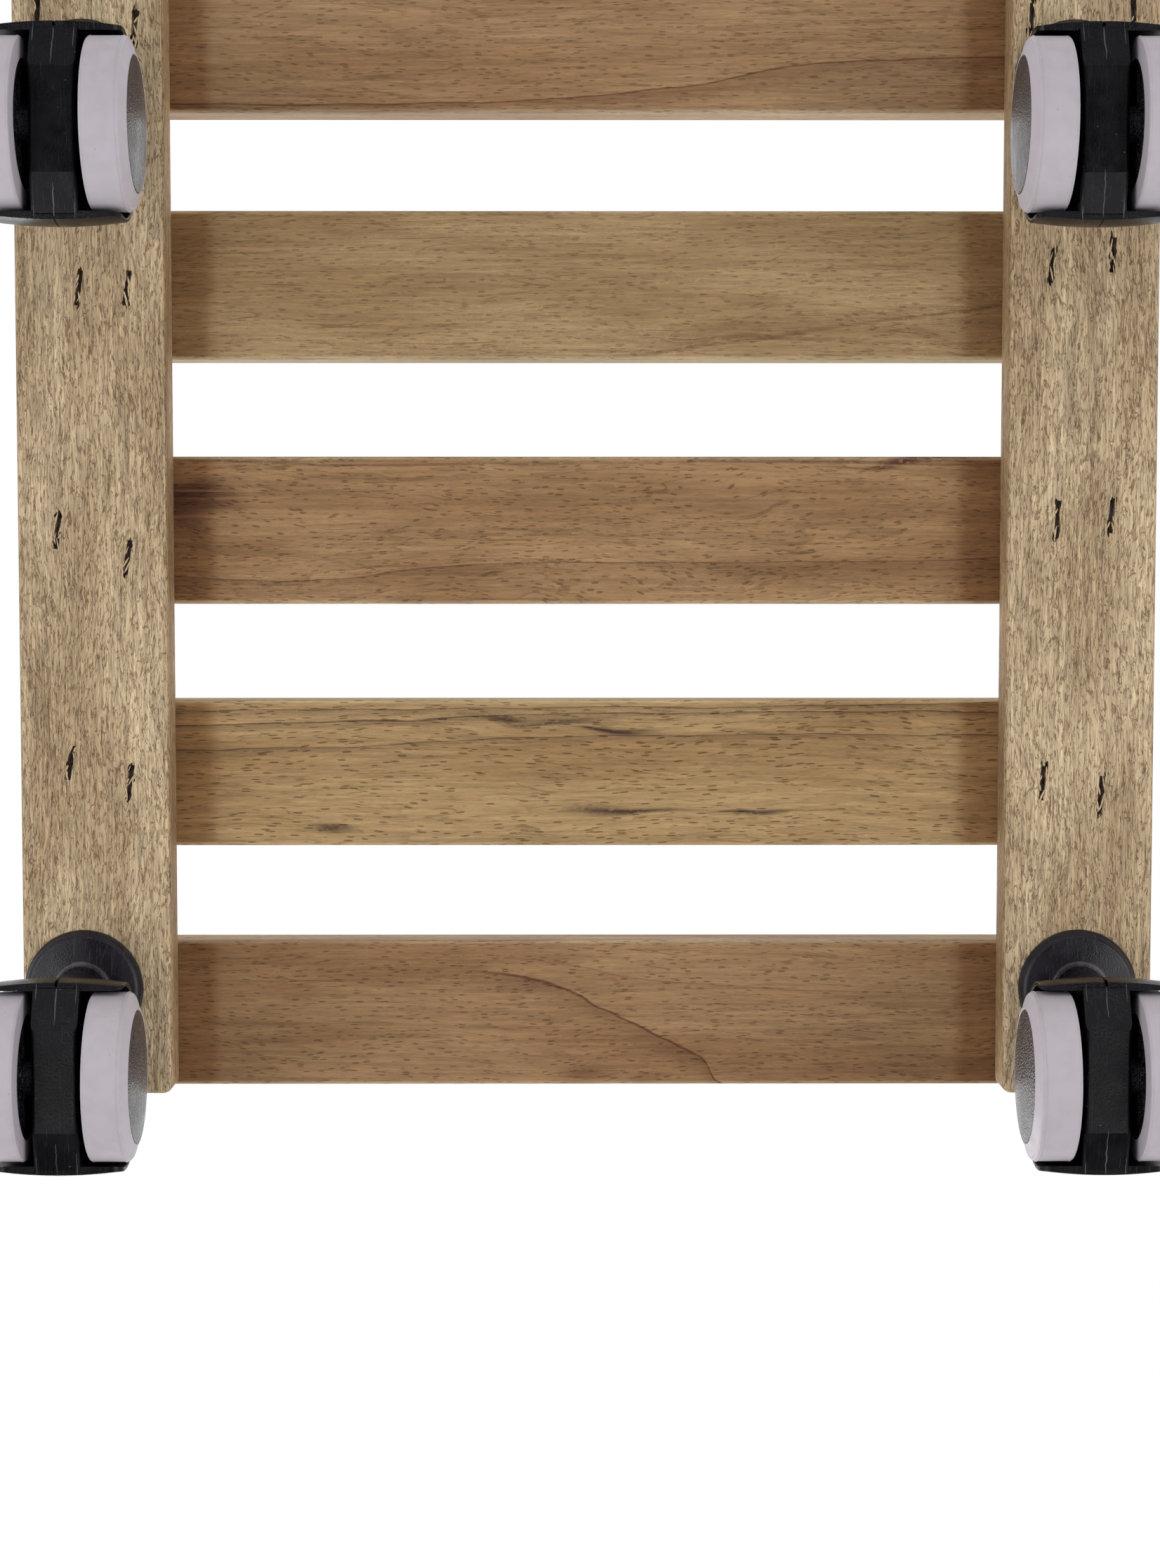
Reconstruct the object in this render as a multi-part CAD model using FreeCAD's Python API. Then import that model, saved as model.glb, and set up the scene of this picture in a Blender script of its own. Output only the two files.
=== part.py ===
import FreeCAD, Part
import math
import os

# Plant pot caddy: a slatted hardwood deck on two bearers, carried by four twin-wheel swivel casters.
# Millimetres. +Z is up, X runs along the bearers, Y runs along the slats.
# The origin is on the floor, under the middle of the deck. The front is -Y and the left is -X.

Vector = FreeCAD.Vector
ORIGIN = Vector(0, 0, 0)
Y_AXIS = Vector(0, 1, 0)
Z_AXIS = Vector(0, 0, 1)
FULL_TURN = 360.0

# Deck boards
deck_length = 350.0
deck_width = 350.0
board_width = 46.0
board_thickness = 17.0
slat_count = 5
rib_count = 9
rib_depth = 1.6
rib_land = 0.8
slat_bottom_round = 1.6
bearer_end_round = 3.0
bearer_edge_round = 1.8

# Heights above the floor
wheel_radius = 25.0
bearer_bottom = 70.0
slat_bottom = bearer_bottom + board_thickness
deck_top = slat_bottom + board_thickness

# Staples: the crown runs roughly along the bearer, and the legs reach up into the slat
staple_crown = 10.2
staple_wire_width = 1.2
staple_wire_depth = 1.4
staple_leg = 25.0
staple_sunk = 2.2
slit_clearance = 0.25

# Where each staple was shot, as (distance along X from the slat's centre line, distance
# from the bearer's centre line towards the middle of the deck, lean in degrees)
staple_places = {
    "front": [
        [(-5.0, -17.0, 5.0), (5.4, 11.0, 3.0)],
        [(4.2, -7.6, 9.0), (-1.8, 10.7, 8.0)],
        [(-0.7, -10.7, 5.0), (-8.6, 10.7, 9.0)],
        [(-2.5, -3.4, 7.0), (-2.5, 11.4, 7.0)],
        [(4.5, -15.0, 2.0), (-0.2, 14.4, 3.0)],
    ],
    "rear": [
        [(-9.0, -17.0, 4.0), (-10.0, 15.7, 6.0)],
        [(-5.3, -6.7, 5.0), (-2.2, 11.3, 4.0)],
        [(4.2, -9.0, 4.0), (3.5, 7.5, 3.0)],
        [(7.6, -8.5, 3.0), (4.5, 10.1, 5.0)],
        [(3.0, -14.0, -3.0), (2.0, 17.0, 2.0)],
    ],
}

# Distance from each caster's swivel axis back to its axle
trail = 20.0

# Socket: a flanged plastic sleeve pressed into the bearer
socket_flange_radius = 18.3
socket_boss_radius = 9.2
socket_boss_bottom = 64.3
socket_barrel_radius = 7.0
socket_barrel_top = 86.5
socket_bore_radius = 5.3

# Stem: a steel pin with a groove for the grip ring and one for the retaining clip
stem_radius = 5.0
stem_bottom = 34.3
stem_top = 86.0
stem_chamfer = 0.8
groove_radius = 4.1
grip_groove = (79.5, 82.5)
clip_groove = (38.2, 39.8)
ring_inner_radius = 4.12
grip_ring_outer_radius = 5.28
clip_outer_radius = 5.9
ring_gap_angle = 50.0
ring_side_gap = 0.1

# Housing: a hood over both wheels, a web between them and a neck around the stem
hood_lift = 0.4
hood_inner_radius = 26.6
hood_edge_radius = 27.9
hood_crown_radius = 29.2
hood_half_width = 19.2
hood_front_angle = -11.0
hood_rear_angle = 196.0
hood_front_round = 3.0
hood_rear_round = 4.0
hood_edge_round = 0.45
seam_half_width = 0.18
seam_depth = 0.35
notch_half_width = 0.5
notch_angle = 8.0
web_half_width = 6.8
web_bottom = -11.0
web_bottom_round = 1.2
window_start_angle = 98.0
window_end_angle = 152.0
window_radius = 21.0
web_reach = 27.4
pocket_depth = 4.2
pocket_wall = 2.2
axle_boss_radius = 6.0
neck_top = 58.0
neck_bottom = 31.0
neck_top_radius = 7.4
neck_bottom_radius = 7.9
neck_chamfer = 0.7
neck_bore_radius = 5.06
neck_bore_bottom = 34.0
neck_mouth_radius = 5.9
neck_mouth_depth = 0.9
clip_room_radius = 6.3
clip_room = (37.8, 40.2)

# Axle
axle_radius = 3.0
axle_half_length = 20.0
axle_chamfer = 0.5
axle_groove_radius = 2.5
axle_groove = (16.6, 18.1)

# Wheels, measured outwards along the axle from the caster's middle plane
wheel_inner_face = 9.4
tread_inner_edge = 24.4
tread_flat = (10.4, 20.2)
tread_shoulder = (21.3, 24.3)
tread_cone_start = 23.8
rim_outer_radius = 18.6
rim_wall = 2.0
rim_end = 19.2
disc_radius = 19.7
disc_edge = 22.9
disc_rise = 0.9
disc_thickness = 3.9
disc_edge_round = 0.5
hub_radius = 5.6
hub_start = 7.2
hub_bore_radius = 3.05
hub_bore_end = 20.2
hub_snap_radius = 2.6
hub_snap = (16.9, 17.8)
spoke_count = 8
spoke_half_thickness = 0.6
spoke_start = 10.5

# Where each caster's hole was bored, which is not quite square to the deck
CASTERS = {
    "front_left": (-142.0, -156.0),
    "front_right": (136.0, -153.5),
    "rear_left": (-142.0, 152.0),
    "rear_right": (136.0, 148.0),
}


# ---------------------------------------------------------------- helpers


def in_xz(point):
    return Vector(point[0], 0, point[1])


def arc_edge(centre, start, end):
    """The shorter arc from start to end about centre, all in one plane."""
    radius = (start - centre).Length
    middle = (start - centre).normalize() + (end - centre).normalize()
    return Part.Arc(start, centre + middle.normalize() * radius, end).toShape()


def outline_face(start, steps):
    """A face in the XZ plane. A step is a point for a straight line, or (arc centre, end point)."""
    edges = []
    here = in_xz(start)
    for step in steps:
        if isinstance(step[0], tuple):
            there = in_xz(step[1])
            edges.append(arc_edge(in_xz(step[0]), here, there))
        else:
            there = in_xz(step)
            edges.append(Part.makeLine(here, there))
        here = there
    return Part.Face(Part.Wire(edges))


def turned(start, steps):
    """A solid of revolution about Z from an outline of (radius, height) points."""
    return outline_face(start, steps).revolve(ORIGIN, Z_AXIS, FULL_TURN)


def laid_on_axle(shape, side):
    """Turns a solid made about +Z so that its axis lies on the axle, pointing to side (-1 front, 1 rear)."""
    laid = shape.copy()
    laid.rotate(ORIGIN, Vector(1, 0, 0), -90 * side)
    laid.translate(Vector(-trail, 0, wheel_radius))
    return laid


def polar(radius, degrees):
    angle = math.radians(degrees)
    return (radius * math.cos(angle), radius * math.sin(angle))


def ring_with_gap(inner, outer, low, high):
    """A split spring ring about Z, open towards +X."""
    ring = Part.makeCylinder(outer, high - low, Vector(0, 0, low))
    ring = ring.cut(Part.makeCylinder(inner, high - low, Vector(0, 0, low)))
    half_gap = outer * math.tan(math.radians(ring_gap_angle / 2))
    gap = Part.makeBox(outer, 2 * half_gap, high - low, Vector(inner / 2, -half_gap, low))
    return ring.cut(gap)


# ---------------------------------------------------------------- deck


def staple_blank(place, slat_x, bearer_side):
    """Returns the staple's solid and the slit that its crown was sunk through."""
    along, inward, lean = place
    half = staple_crown / 2
    crown_low = bearer_bottom + staple_sunk
    wire = Vector(0, -staple_wire_width / 2, crown_low)
    crown = Part.makeBox(staple_crown, staple_wire_width, staple_wire_depth, wire + Vector(-half, 0, 0))
    leg_low = wire + Vector(0, 0, staple_wire_depth)
    for leg_x in (-half, half - staple_wire_depth):
        leg = Part.makeBox(staple_wire_depth, staple_wire_width, staple_leg, leg_low + Vector(leg_x, 0, 0))
        crown = crown.fuse(leg)
    staple = crown.removeSplitter()
    slit_width = staple_wire_width + 2 * slit_clearance
    slit = Part.makeBox(
        staple_crown + 2 * slit_clearance,
        slit_width,
        staple_sunk + 1.0,
        Vector(-half - slit_clearance, -slit_width / 2, bearer_bottom - 1.0),
    )
    centre_line = deck_width / 2 - board_width / 2 - inward
    for shape in (staple, slit):
        shape.rotate(ORIGIN, Z_AXIS, lean)
        shape.translate(Vector(slat_x + along, bearer_side * centre_line, 0))
    return staple, slit


def slat_centre(index):
    pitch = (deck_length - board_width) / (slat_count - 1)
    return -deck_length / 2 + board_width / 2 + index * pitch


def slat_outline():
    """Section across a slat: flat below with eased corners, rounded ribs above."""
    half = board_width / 2
    pitch = board_width / rib_count
    shoulder = (pitch - rib_land) / 2
    crest_radius = (shoulder**2 + rib_depth**2) / (2 * rib_depth)
    low, top, ease = slat_bottom, deck_top, slat_bottom_round
    start = (-half + ease, low)
    steps = [
        (half - ease, low),
        ((half - ease, low + ease), (half, low + ease)),
        (half, top - shoulder),
        ((half - shoulder, top - shoulder), (half - shoulder, top)),
    ]
    for rib in range(rib_count):
        right = half - rib * pitch
        left = right - pitch
        steps.append((left + shoulder, top))
        if rib < rib_count - 1:
            steps.append(((left + shoulder, top - crest_radius), (left, top - rib_depth)))
            steps.append(((left - shoulder, top - crest_radius), (left - shoulder, top)))
    steps += [
        ((-half + shoulder, top - shoulder), (-half, top - shoulder)),
        (-half, low + ease),
        ((-half + ease, low + ease), start),
    ]
    return outline_face(start, steps)


def make_slat(index, staples):
    blank = slat_outline().extrude(Vector(0, deck_width, 0))
    blank.translate(Vector(slat_centre(index), -deck_width / 2, 0))
    return blank.cut(Part.makeCompound(staples))


def make_bearer(side, staples, slits):
    near_edge = side * deck_width / 2 - (board_width if side > 0 else 0)
    corner = Vector(-deck_length / 2, near_edge, bearer_bottom)
    board = Part.makeBox(deck_length, board_width, board_thickness, corner)
    upright = [e for e in board.Edges if abs(e.tangentAt(e.FirstParameter).z) > 0.99]
    board = board.makeFillet(bearer_end_round, upright)
    level = [e for e in board.Edges if e.BoundBox.ZLength < 0.01]
    board = board.makeFillet(bearer_edge_round, level)
    for x, y in CASTERS.values():
        if y * side > 0:
            hole_foot = Vector(x, y, bearer_bottom - 1)
            board = board.cut(Part.makeCylinder(socket_barrel_radius, board_thickness + 2, hole_foot))
    return board.cut(Part.makeCompound(staples + slits))


# ---------------------------------------------------------------- caster


def make_socket():
    """Flange under the bearer, a stepped boss round the stem and a barrel up inside the bearer."""
    flange, boss, bore = socket_flange_radius, socket_boss_radius, socket_bore_radius
    foot = socket_boss_bottom
    return turned(
        (bore, foot + 0.4),
        [
            (bore + 0.4, foot),
            (boss - 1.0, foot),
            ((boss - 1.0, foot + 0.6), (boss - 0.4, foot + 0.6)),
            (boss - 0.4, foot + 1.1),
            (boss + 0.5, foot + 1.3),
            (flange - 2.4, foot + 2.2),
            ((flange - 2.6, foot + 4.2), (flange - 0.6, foot + 4.2)),
            (flange, foot + 4.9),
            (flange, bearer_bottom),
            (socket_barrel_radius, bearer_bottom),
            (socket_barrel_radius, socket_barrel_top - 0.6),
            (socket_barrel_radius - 0.6, socket_barrel_top),
            (bore, socket_barrel_top),
            (bore, foot + 0.4),
        ],
    )


def make_stem():
    r, cut = stem_radius, stem_chamfer
    return turned(
        (0, stem_bottom),
        [
            (r - cut, stem_bottom),
            (r, stem_bottom + cut),
            (r, clip_groove[0] - ring_side_gap),
            (groove_radius, clip_groove[0] - ring_side_gap),
            (groove_radius, clip_groove[1] + ring_side_gap),
            (r, clip_groove[1] + ring_side_gap),
            (r, grip_groove[0]),
            (groove_radius, grip_groove[0]),
            (groove_radius, grip_groove[1]),
            (r, grip_groove[1]),
            (r, stem_top - 2 * cut),
            (r - 2 * cut, stem_top),
            (0, stem_top),
            (0, stem_bottom),
        ],
    )


def make_grip_ring():
    low, high = grip_groove
    return ring_with_gap(ring_inner_radius, grip_ring_outer_radius, low + ring_side_gap, high - ring_side_gap)


def make_stem_clip():
    return ring_with_gap(ring_inner_radius, clip_outer_radius, clip_groove[0], clip_groove[1])


def make_axle():
    r, cut, end = axle_radius, axle_chamfer, axle_half_length
    low, high = axle_groove
    rod = turned(
        (0, -end),
        [
            (r - cut, -end),
            (r, -end + cut),
            (r, -high),
            (axle_groove_radius, -high),
            (axle_groove_radius, -low),
            (r, -low),
            (r, low),
            (axle_groove_radius, low),
            (axle_groove_radius, high),
            (r, high),
            (r, end - cut),
            (r - cut, end),
            (0, end),
            (0, -end),
        ],
    )
    return laid_on_axle(rod, 1)


def make_wheel_core():
    """Solid face disc, hub with a blind snap-in bore, rim and spokes, made about +Z pointing outwards."""
    disc_inner = disc_edge - disc_thickness
    dome_radius = (disc_radius**2 + disc_rise**2) / (2 * disc_rise)
    dome_centre = (0, disc_edge + disc_rise - dome_radius)
    edge_height = dome_centre[1] + math.sqrt(dome_radius**2 - (disc_radius - disc_edge_round) ** 2)
    core = turned(
        (0, hub_bore_end),
        [
            (hub_bore_radius, hub_bore_end),
            (hub_bore_radius, hub_snap[1]),
            (hub_snap_radius, hub_snap[1]),
            (hub_snap_radius, hub_snap[0]),
            (hub_bore_radius, hub_snap[0]),
            (hub_bore_radius, hub_start + 0.4),
            (hub_bore_radius + 0.4, hub_start),
            (hub_radius, hub_start),
            (hub_radius, disc_inner),
            (rim_outer_radius - rim_wall, disc_inner),
            (rim_outer_radius - rim_wall, wheel_inner_face + 0.3),
            (rim_outer_radius, wheel_inner_face + 0.3),
            (rim_outer_radius, rim_end),
            (disc_radius, rim_end),
            (disc_radius, edge_height - disc_edge_round),
            (
                (disc_radius - disc_edge_round, edge_height - disc_edge_round),
                (disc_radius - disc_edge_round, edge_height),
            ),
            (dome_centre, (0, disc_edge + disc_rise)),
            (0, hub_bore_end),
        ],
    )
    reach = rim_outer_radius - rim_wall / 2
    for n in range(spoke_count):
        spoke = Part.makeBox(
            reach - hub_radius + 1,
            2 * spoke_half_thickness,
            disc_inner - spoke_start + 0.2,
            Vector(hub_radius - 1, -spoke_half_thickness, spoke_start),
        )
        spoke.rotate(ORIGIN, Z_AXIS, n * FULL_TURN / spoke_count)
        core = core.fuse(spoke)
    return core.removeSplitter()


def make_tread():
    """Soft ring moulded round the rim, with a conical side that ends at the face disc."""
    inner, outer = tread_flat
    shoulder_height, shoulder_radius = tread_shoulder
    return turned(
        (rim_outer_radius, wheel_inner_face + 0.3),
        [
            (rim_outer_radius + 0.3, wheel_inner_face),
            (tread_inner_edge, inner + tread_inner_edge - wheel_radius),
            ((tread_inner_edge, inner), (wheel_radius, inner)),
            (wheel_radius, outer),
            (wheel_radius - 0.25, outer + 0.7),
            (shoulder_radius, shoulder_height),
            (tread_cone_start, shoulder_height),
            (disc_radius + 0.3, disc_edge),
            (disc_radius, disc_edge - 0.25),
            (disc_radius, rim_end),
            (rim_outer_radius, rim_end),
            (rim_outer_radius, wheel_inner_face + 0.3),
        ],
    )


def make_hood():
    """Curved shell over both wheels. It is crowned, so it is thicker in the middle than at its edges."""
    half, ease = hood_half_width, hood_edge_round
    crown = hood_crown_radius - hood_edge_radius
    crown_radius = (half**2 + crown**2) / (2 * crown)
    crown_centre_r = hood_crown_radius - crown_radius
    edges = [
        Part.makeLine(Vector(hood_inner_radius + ease, -half, 0), Vector(hood_edge_radius - ease, -half, 0)),
        arc_edge(
            Vector(hood_edge_radius - ease, -half + ease, 0),
            Vector(hood_edge_radius - ease, -half, 0),
            Vector(hood_edge_radius, -half + ease, 0),
        ),
        Part.Arc(
            Vector(hood_edge_radius, -half + ease, 0),
            Vector(crown_centre_r + crown_radius, 0, 0),
            Vector(hood_edge_radius, half - ease, 0),
        ).toShape(),
        arc_edge(
            Vector(hood_edge_radius - ease, half - ease, 0),
            Vector(hood_edge_radius, half - ease, 0),
            Vector(hood_edge_radius - ease, half, 0),
        ),
        Part.makeLine(Vector(hood_edge_radius - ease, half, 0), Vector(hood_inner_radius + ease, half, 0)),
        arc_edge(
            Vector(hood_inner_radius + ease, half - ease, 0),
            Vector(hood_inner_radius + ease, half, 0),
            Vector(hood_inner_radius, half - ease, 0),
        ),
        Part.makeLine(Vector(hood_inner_radius, half - ease, 0), Vector(hood_inner_radius, -half + ease, 0)),
        arc_edge(
            Vector(hood_inner_radius + ease, -half + ease, 0),
            Vector(hood_inner_radius, -half + ease, 0),
            Vector(hood_inner_radius + ease, -half, 0),
        ),
    ]
    section = Part.Face(Part.Wire(edges))
    section.rotate(ORIGIN, Y_AXIS, -hood_front_angle)
    hood = section.revolve(ORIGIN, Vector(0, -1, 0), hood_rear_angle - hood_front_angle)
    return hood


def web_face(reach, bottom, window_edge):
    """Side outline of the web about the axle: out to the hood, cut back under the hood's rear top."""
    centre = (0, 0)
    front_low = polar(reach, hood_front_angle)
    top = polar(reach, window_start_angle)
    top_low = polar(window_edge, window_start_angle)
    back_low = polar(window_edge, window_end_angle)
    back = polar(reach, window_end_angle)
    rear_low = polar(reach, hood_rear_angle)
    quarter = polar(reach, (hood_front_angle + window_start_angle) / 2)
    return outline_face(
        front_low,
        [
            (centre, quarter),
            (centre, top),
            top_low,
            (centre, back_low),
            back,
            (centre, rear_low),
            (-reach * 0.55, bottom),
            (reach * 0.55, bottom),
            front_low,
        ],
    )


def make_web():
    web = web_face(web_reach, web_bottom, window_radius).extrude(Vector(0, 2 * web_half_width, 0))
    web.translate(Vector(0, -web_half_width, 0))
    low_edges = [
        e
        for e in web.Edges
        if e.BoundBox.ZMax < hood_front_angle / 2 and e.BoundBox.XLength > 10 and e.BoundBox.YLength < 0.01
    ]
    web = web.makeFillet(web_bottom_round, low_edges)
    inner = web_face(web_reach - pocket_wall - 1.5, web_bottom + pocket_wall, window_radius - pocket_wall)
    boss = Part.makeCylinder(axle_boss_radius, 4 * web_half_width, Vector(0, -2 * web_half_width, 0), Y_AXIS)
    wall_corner = Vector(trail - neck_bottom_radius, -2 * web_half_width, -40)
    neck_wall = Part.makeBox(20, 4 * web_half_width, 80, wall_corner)
    for side in (-1, 1):
        pocket = inner.extrude(Vector(0, pocket_depth + 1, 0))
        start = web_half_width - pocket_depth if side > 0 else -web_half_width - 1
        pocket.translate(Vector(0, start, 0))
        web = web.cut(pocket.cut(boss).cut(neck_wall))
    return web


def corner_cutter(angle, r, inwards, side):
    """What is taken off one corner of the hood, at one end (inwards is the sense of the hood) and one side."""
    reach = hood_crown_radius + 2
    low = 0 if inwards > 0 else -r
    block = Part.makeBox(reach, r + 1, r, Vector(0, hood_half_width - r, low))
    spare = Part.makeBox(reach, r + 1, 1, Vector(0, hood_half_width - r, -1 if inwards > 0 else 0))
    keep = Part.makeCylinder(r, reach, Vector(0, hood_half_width - r, inwards * r), Vector(1, 0, 0))
    cutter = block.fuse(spare).cut(keep)
    if side < 0:
        cutter = cutter.mirror(ORIGIN, Y_AXIS)
    cutter.rotate(ORIGIN, Y_AXIS, -angle)
    return cutter


def round_hood_corners(hood):
    for angle, r, inwards in ((hood_front_angle, hood_front_round, 1), (hood_rear_angle, hood_rear_round, -1)):
        for side in (-1, 1):
            hood = hood.cut(corner_cutter(angle, r, inwards, side))
    return hood


def make_neck():
    height = neck_top - neck_bottom
    return turned(
        (0, neck_bottom),
        [
            (neck_bottom_radius, neck_bottom),
            (neck_top_radius, neck_bottom + height - neck_chamfer),
            (neck_top_radius - neck_chamfer, neck_top),
            (0, neck_top),
            (0, neck_bottom),
        ],
    )


def make_neck_bore():
    room_low, room_high = clip_room
    return turned(
        (0, neck_bore_bottom),
        [
            (neck_bore_radius, neck_bore_bottom),
            (neck_bore_radius, room_low),
            (clip_room_radius, room_low),
            (clip_room_radius, room_high),
            (neck_bore_radius, room_high),
            (neck_bore_radius, neck_top - neck_mouth_depth),
            (neck_mouth_radius, neck_top - neck_mouth_depth),
            (neck_mouth_radius, neck_top + 1),
            (0, neck_top + 1),
            (0, neck_bore_bottom),
        ],
    )


def make_housing():
    hood = round_hood_corners(make_hood())
    hood.translate(Vector(0, 0, hood_lift))
    body = hood.fuse(make_web())
    body.translate(Vector(-trail, 0, wheel_radius))
    body = body.fuse(make_neck()).removeSplitter()
    body = body.cut(make_neck_bore())
    axle_hole = Part.makeCylinder(axle_radius, 60, Vector(-trail, -30, wheel_radius), Y_AXIS)
    body = body.cut(axle_hole)
    hood_centre = Vector(-trail, 0, wheel_radius + hood_lift)
    seam = Part.makeCylinder(40, 2 * seam_half_width, hood_centre - Y_AXIS * seam_half_width, Y_AXIS)
    seam_core = Part.makeCylinder(
        hood_crown_radius - seam_depth, 2 * seam_half_width, hood_centre - Y_AXIS * seam_half_width, Y_AXIS
    )
    neck_keep = Part.makeCylinder(neck_bottom_radius + 0.3, 80, Vector(0, 0, 0))
    body = body.cut(seam.cut(seam_core).cut(neck_keep))
    notch_low = polar(hood_crown_radius, hood_front_angle)
    notch_high = polar(hood_crown_radius, hood_front_angle + notch_angle)
    notch = Part.makeBox(
        4,
        2 * notch_half_width,
        notch_high[1] - notch_low[1],
        Vector(notch_low[0] - 1.4, -notch_half_width, notch_low[1] - 1.0),
    )
    notch.translate(hood_centre)
    return body.cut(notch)


# ---------------------------------------------------------------- assembly


def deck_nodes():
    nodes = {}
    staples = {"front": [], "rear": []}
    slits = {"front": [], "rear": []}
    by_slat = [[] for _ in range(slat_count)]
    for bearer, side in (("front", -1), ("rear", 1)):
        for index, places in enumerate(staple_places[bearer]):
            for place in places:
                staple, slit = staple_blank(place, slat_centre(index), side)
                staples[bearer].append(staple)
                slits[bearer].append(slit)
                by_slat[index].append(staple)
    for index in range(slat_count):
        nodes[f"slat_{index + 1}"] = make_slat(index, by_slat[index])
    for bearer, side in (("front", -1), ("rear", 1)):
        nodes[f"bearer_{bearer}"] = make_bearer(side, staples[bearer], slits[bearer])
        nodes[f"staples_{bearer}"] = Part.makeCompound(staples[bearer])
    return nodes


def caster_pieces():
    """The pieces of one caster, about its own swivel axis, with the wheels trailing towards -X."""
    pieces = {
        "socket": make_socket(),
        "stem": make_stem(),
        "grip_ring": make_grip_ring(),
        "stem_clip": make_stem_clip(),
        "housing": make_housing(),
        "axle": make_axle(),
    }
    core, tread = make_wheel_core(), make_tread()
    for side, word in ((-1, "a"), (1, "b")):
        pieces[f"wheel_core_{word}"] = laid_on_axle(core, side)
        pieces[f"tread_{word}"] = laid_on_axle(tread, side)
    return pieces


def caster_nodes():
    nodes = {}
    pieces = caster_pieces()
    for caster, (x, y) in CASTERS.items():
        outer_word = "a" if y < 0 else "b"
        for piece, shape in pieces.items():
            name = piece
            if piece.endswith(("_a", "_b")):
                name = piece[:-1] + ("outer" if piece.endswith(outer_word) else "inner")
            placed = shape.copy()
            placed.translate(Vector(x, y, 0))
            nodes[f"{name}_{caster}"] = placed
    return nodes


def main():
    os.makedirs("parts", exist_ok=True)
    nodes = {**deck_nodes(), **caster_nodes()}
    for name, shape in nodes.items():
        solids = len(shape.Solids)
        if not shape.isValid() or solids == 0:
            raise SystemExit(f"{name} is not a valid solid")
        shape.exportStep(f"parts/{name}.step")
        print(f"{name}: {solids} solid(s), {shape.Volume / 1000:.2f} cm3")


main()
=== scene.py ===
"""The looks of the plant pot caddy: materials, torn fibres, mould flash, light and camera."""

import math
import random

import bmesh
import bpy
from mathutils import Matrix, Vector
from mathutils.bvhtree import BVHTree


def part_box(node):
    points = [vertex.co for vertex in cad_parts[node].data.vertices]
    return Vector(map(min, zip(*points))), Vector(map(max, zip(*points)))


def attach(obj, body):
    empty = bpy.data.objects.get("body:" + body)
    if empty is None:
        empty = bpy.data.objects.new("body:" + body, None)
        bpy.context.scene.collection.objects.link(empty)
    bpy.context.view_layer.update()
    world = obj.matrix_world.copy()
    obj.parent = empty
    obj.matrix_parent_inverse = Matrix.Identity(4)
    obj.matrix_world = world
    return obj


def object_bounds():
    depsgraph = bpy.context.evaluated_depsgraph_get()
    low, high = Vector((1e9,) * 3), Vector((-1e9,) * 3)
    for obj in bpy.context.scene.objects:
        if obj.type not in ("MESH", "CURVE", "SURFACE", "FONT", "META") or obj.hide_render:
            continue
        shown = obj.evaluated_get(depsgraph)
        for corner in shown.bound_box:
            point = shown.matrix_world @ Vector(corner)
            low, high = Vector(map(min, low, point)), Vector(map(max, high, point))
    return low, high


MM = 0.001
CORNERS = ("front_left", "front_right", "rear_left", "rear_right")
SLATS = ("slat_1", "slat_2", "slat_3", "slat_4", "slat_5")

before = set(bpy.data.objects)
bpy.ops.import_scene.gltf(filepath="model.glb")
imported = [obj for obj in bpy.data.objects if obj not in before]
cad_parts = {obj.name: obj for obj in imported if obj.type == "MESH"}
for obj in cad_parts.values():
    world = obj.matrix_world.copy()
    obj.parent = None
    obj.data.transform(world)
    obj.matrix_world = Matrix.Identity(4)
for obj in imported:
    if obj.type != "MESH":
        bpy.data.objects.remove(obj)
cad_low, cad_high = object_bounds()
centre = (cad_low + cad_high) / 2
deck_size = cad_high.x - cad_low.x


# ---------------------------------------------------------------- colours


def srgb(red, green, blue):
    """A colour given as it looks on a screen, 0 to 255, as the linear colour that a shader takes."""
    linear = []
    for part in (red, green, blue):
        share = part / 255
        linear.append(share / 12.92 if share <= 0.04045 else ((share + 0.055) / 1.055) ** 2.4)
    return (*linear, 1.0)


def dimmed(colour, share):
    """The colour with this share of its light."""
    return [share * part for part in colour[:3]] + [1.0]


# ---------------------------------------------------------------- shader building


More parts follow.
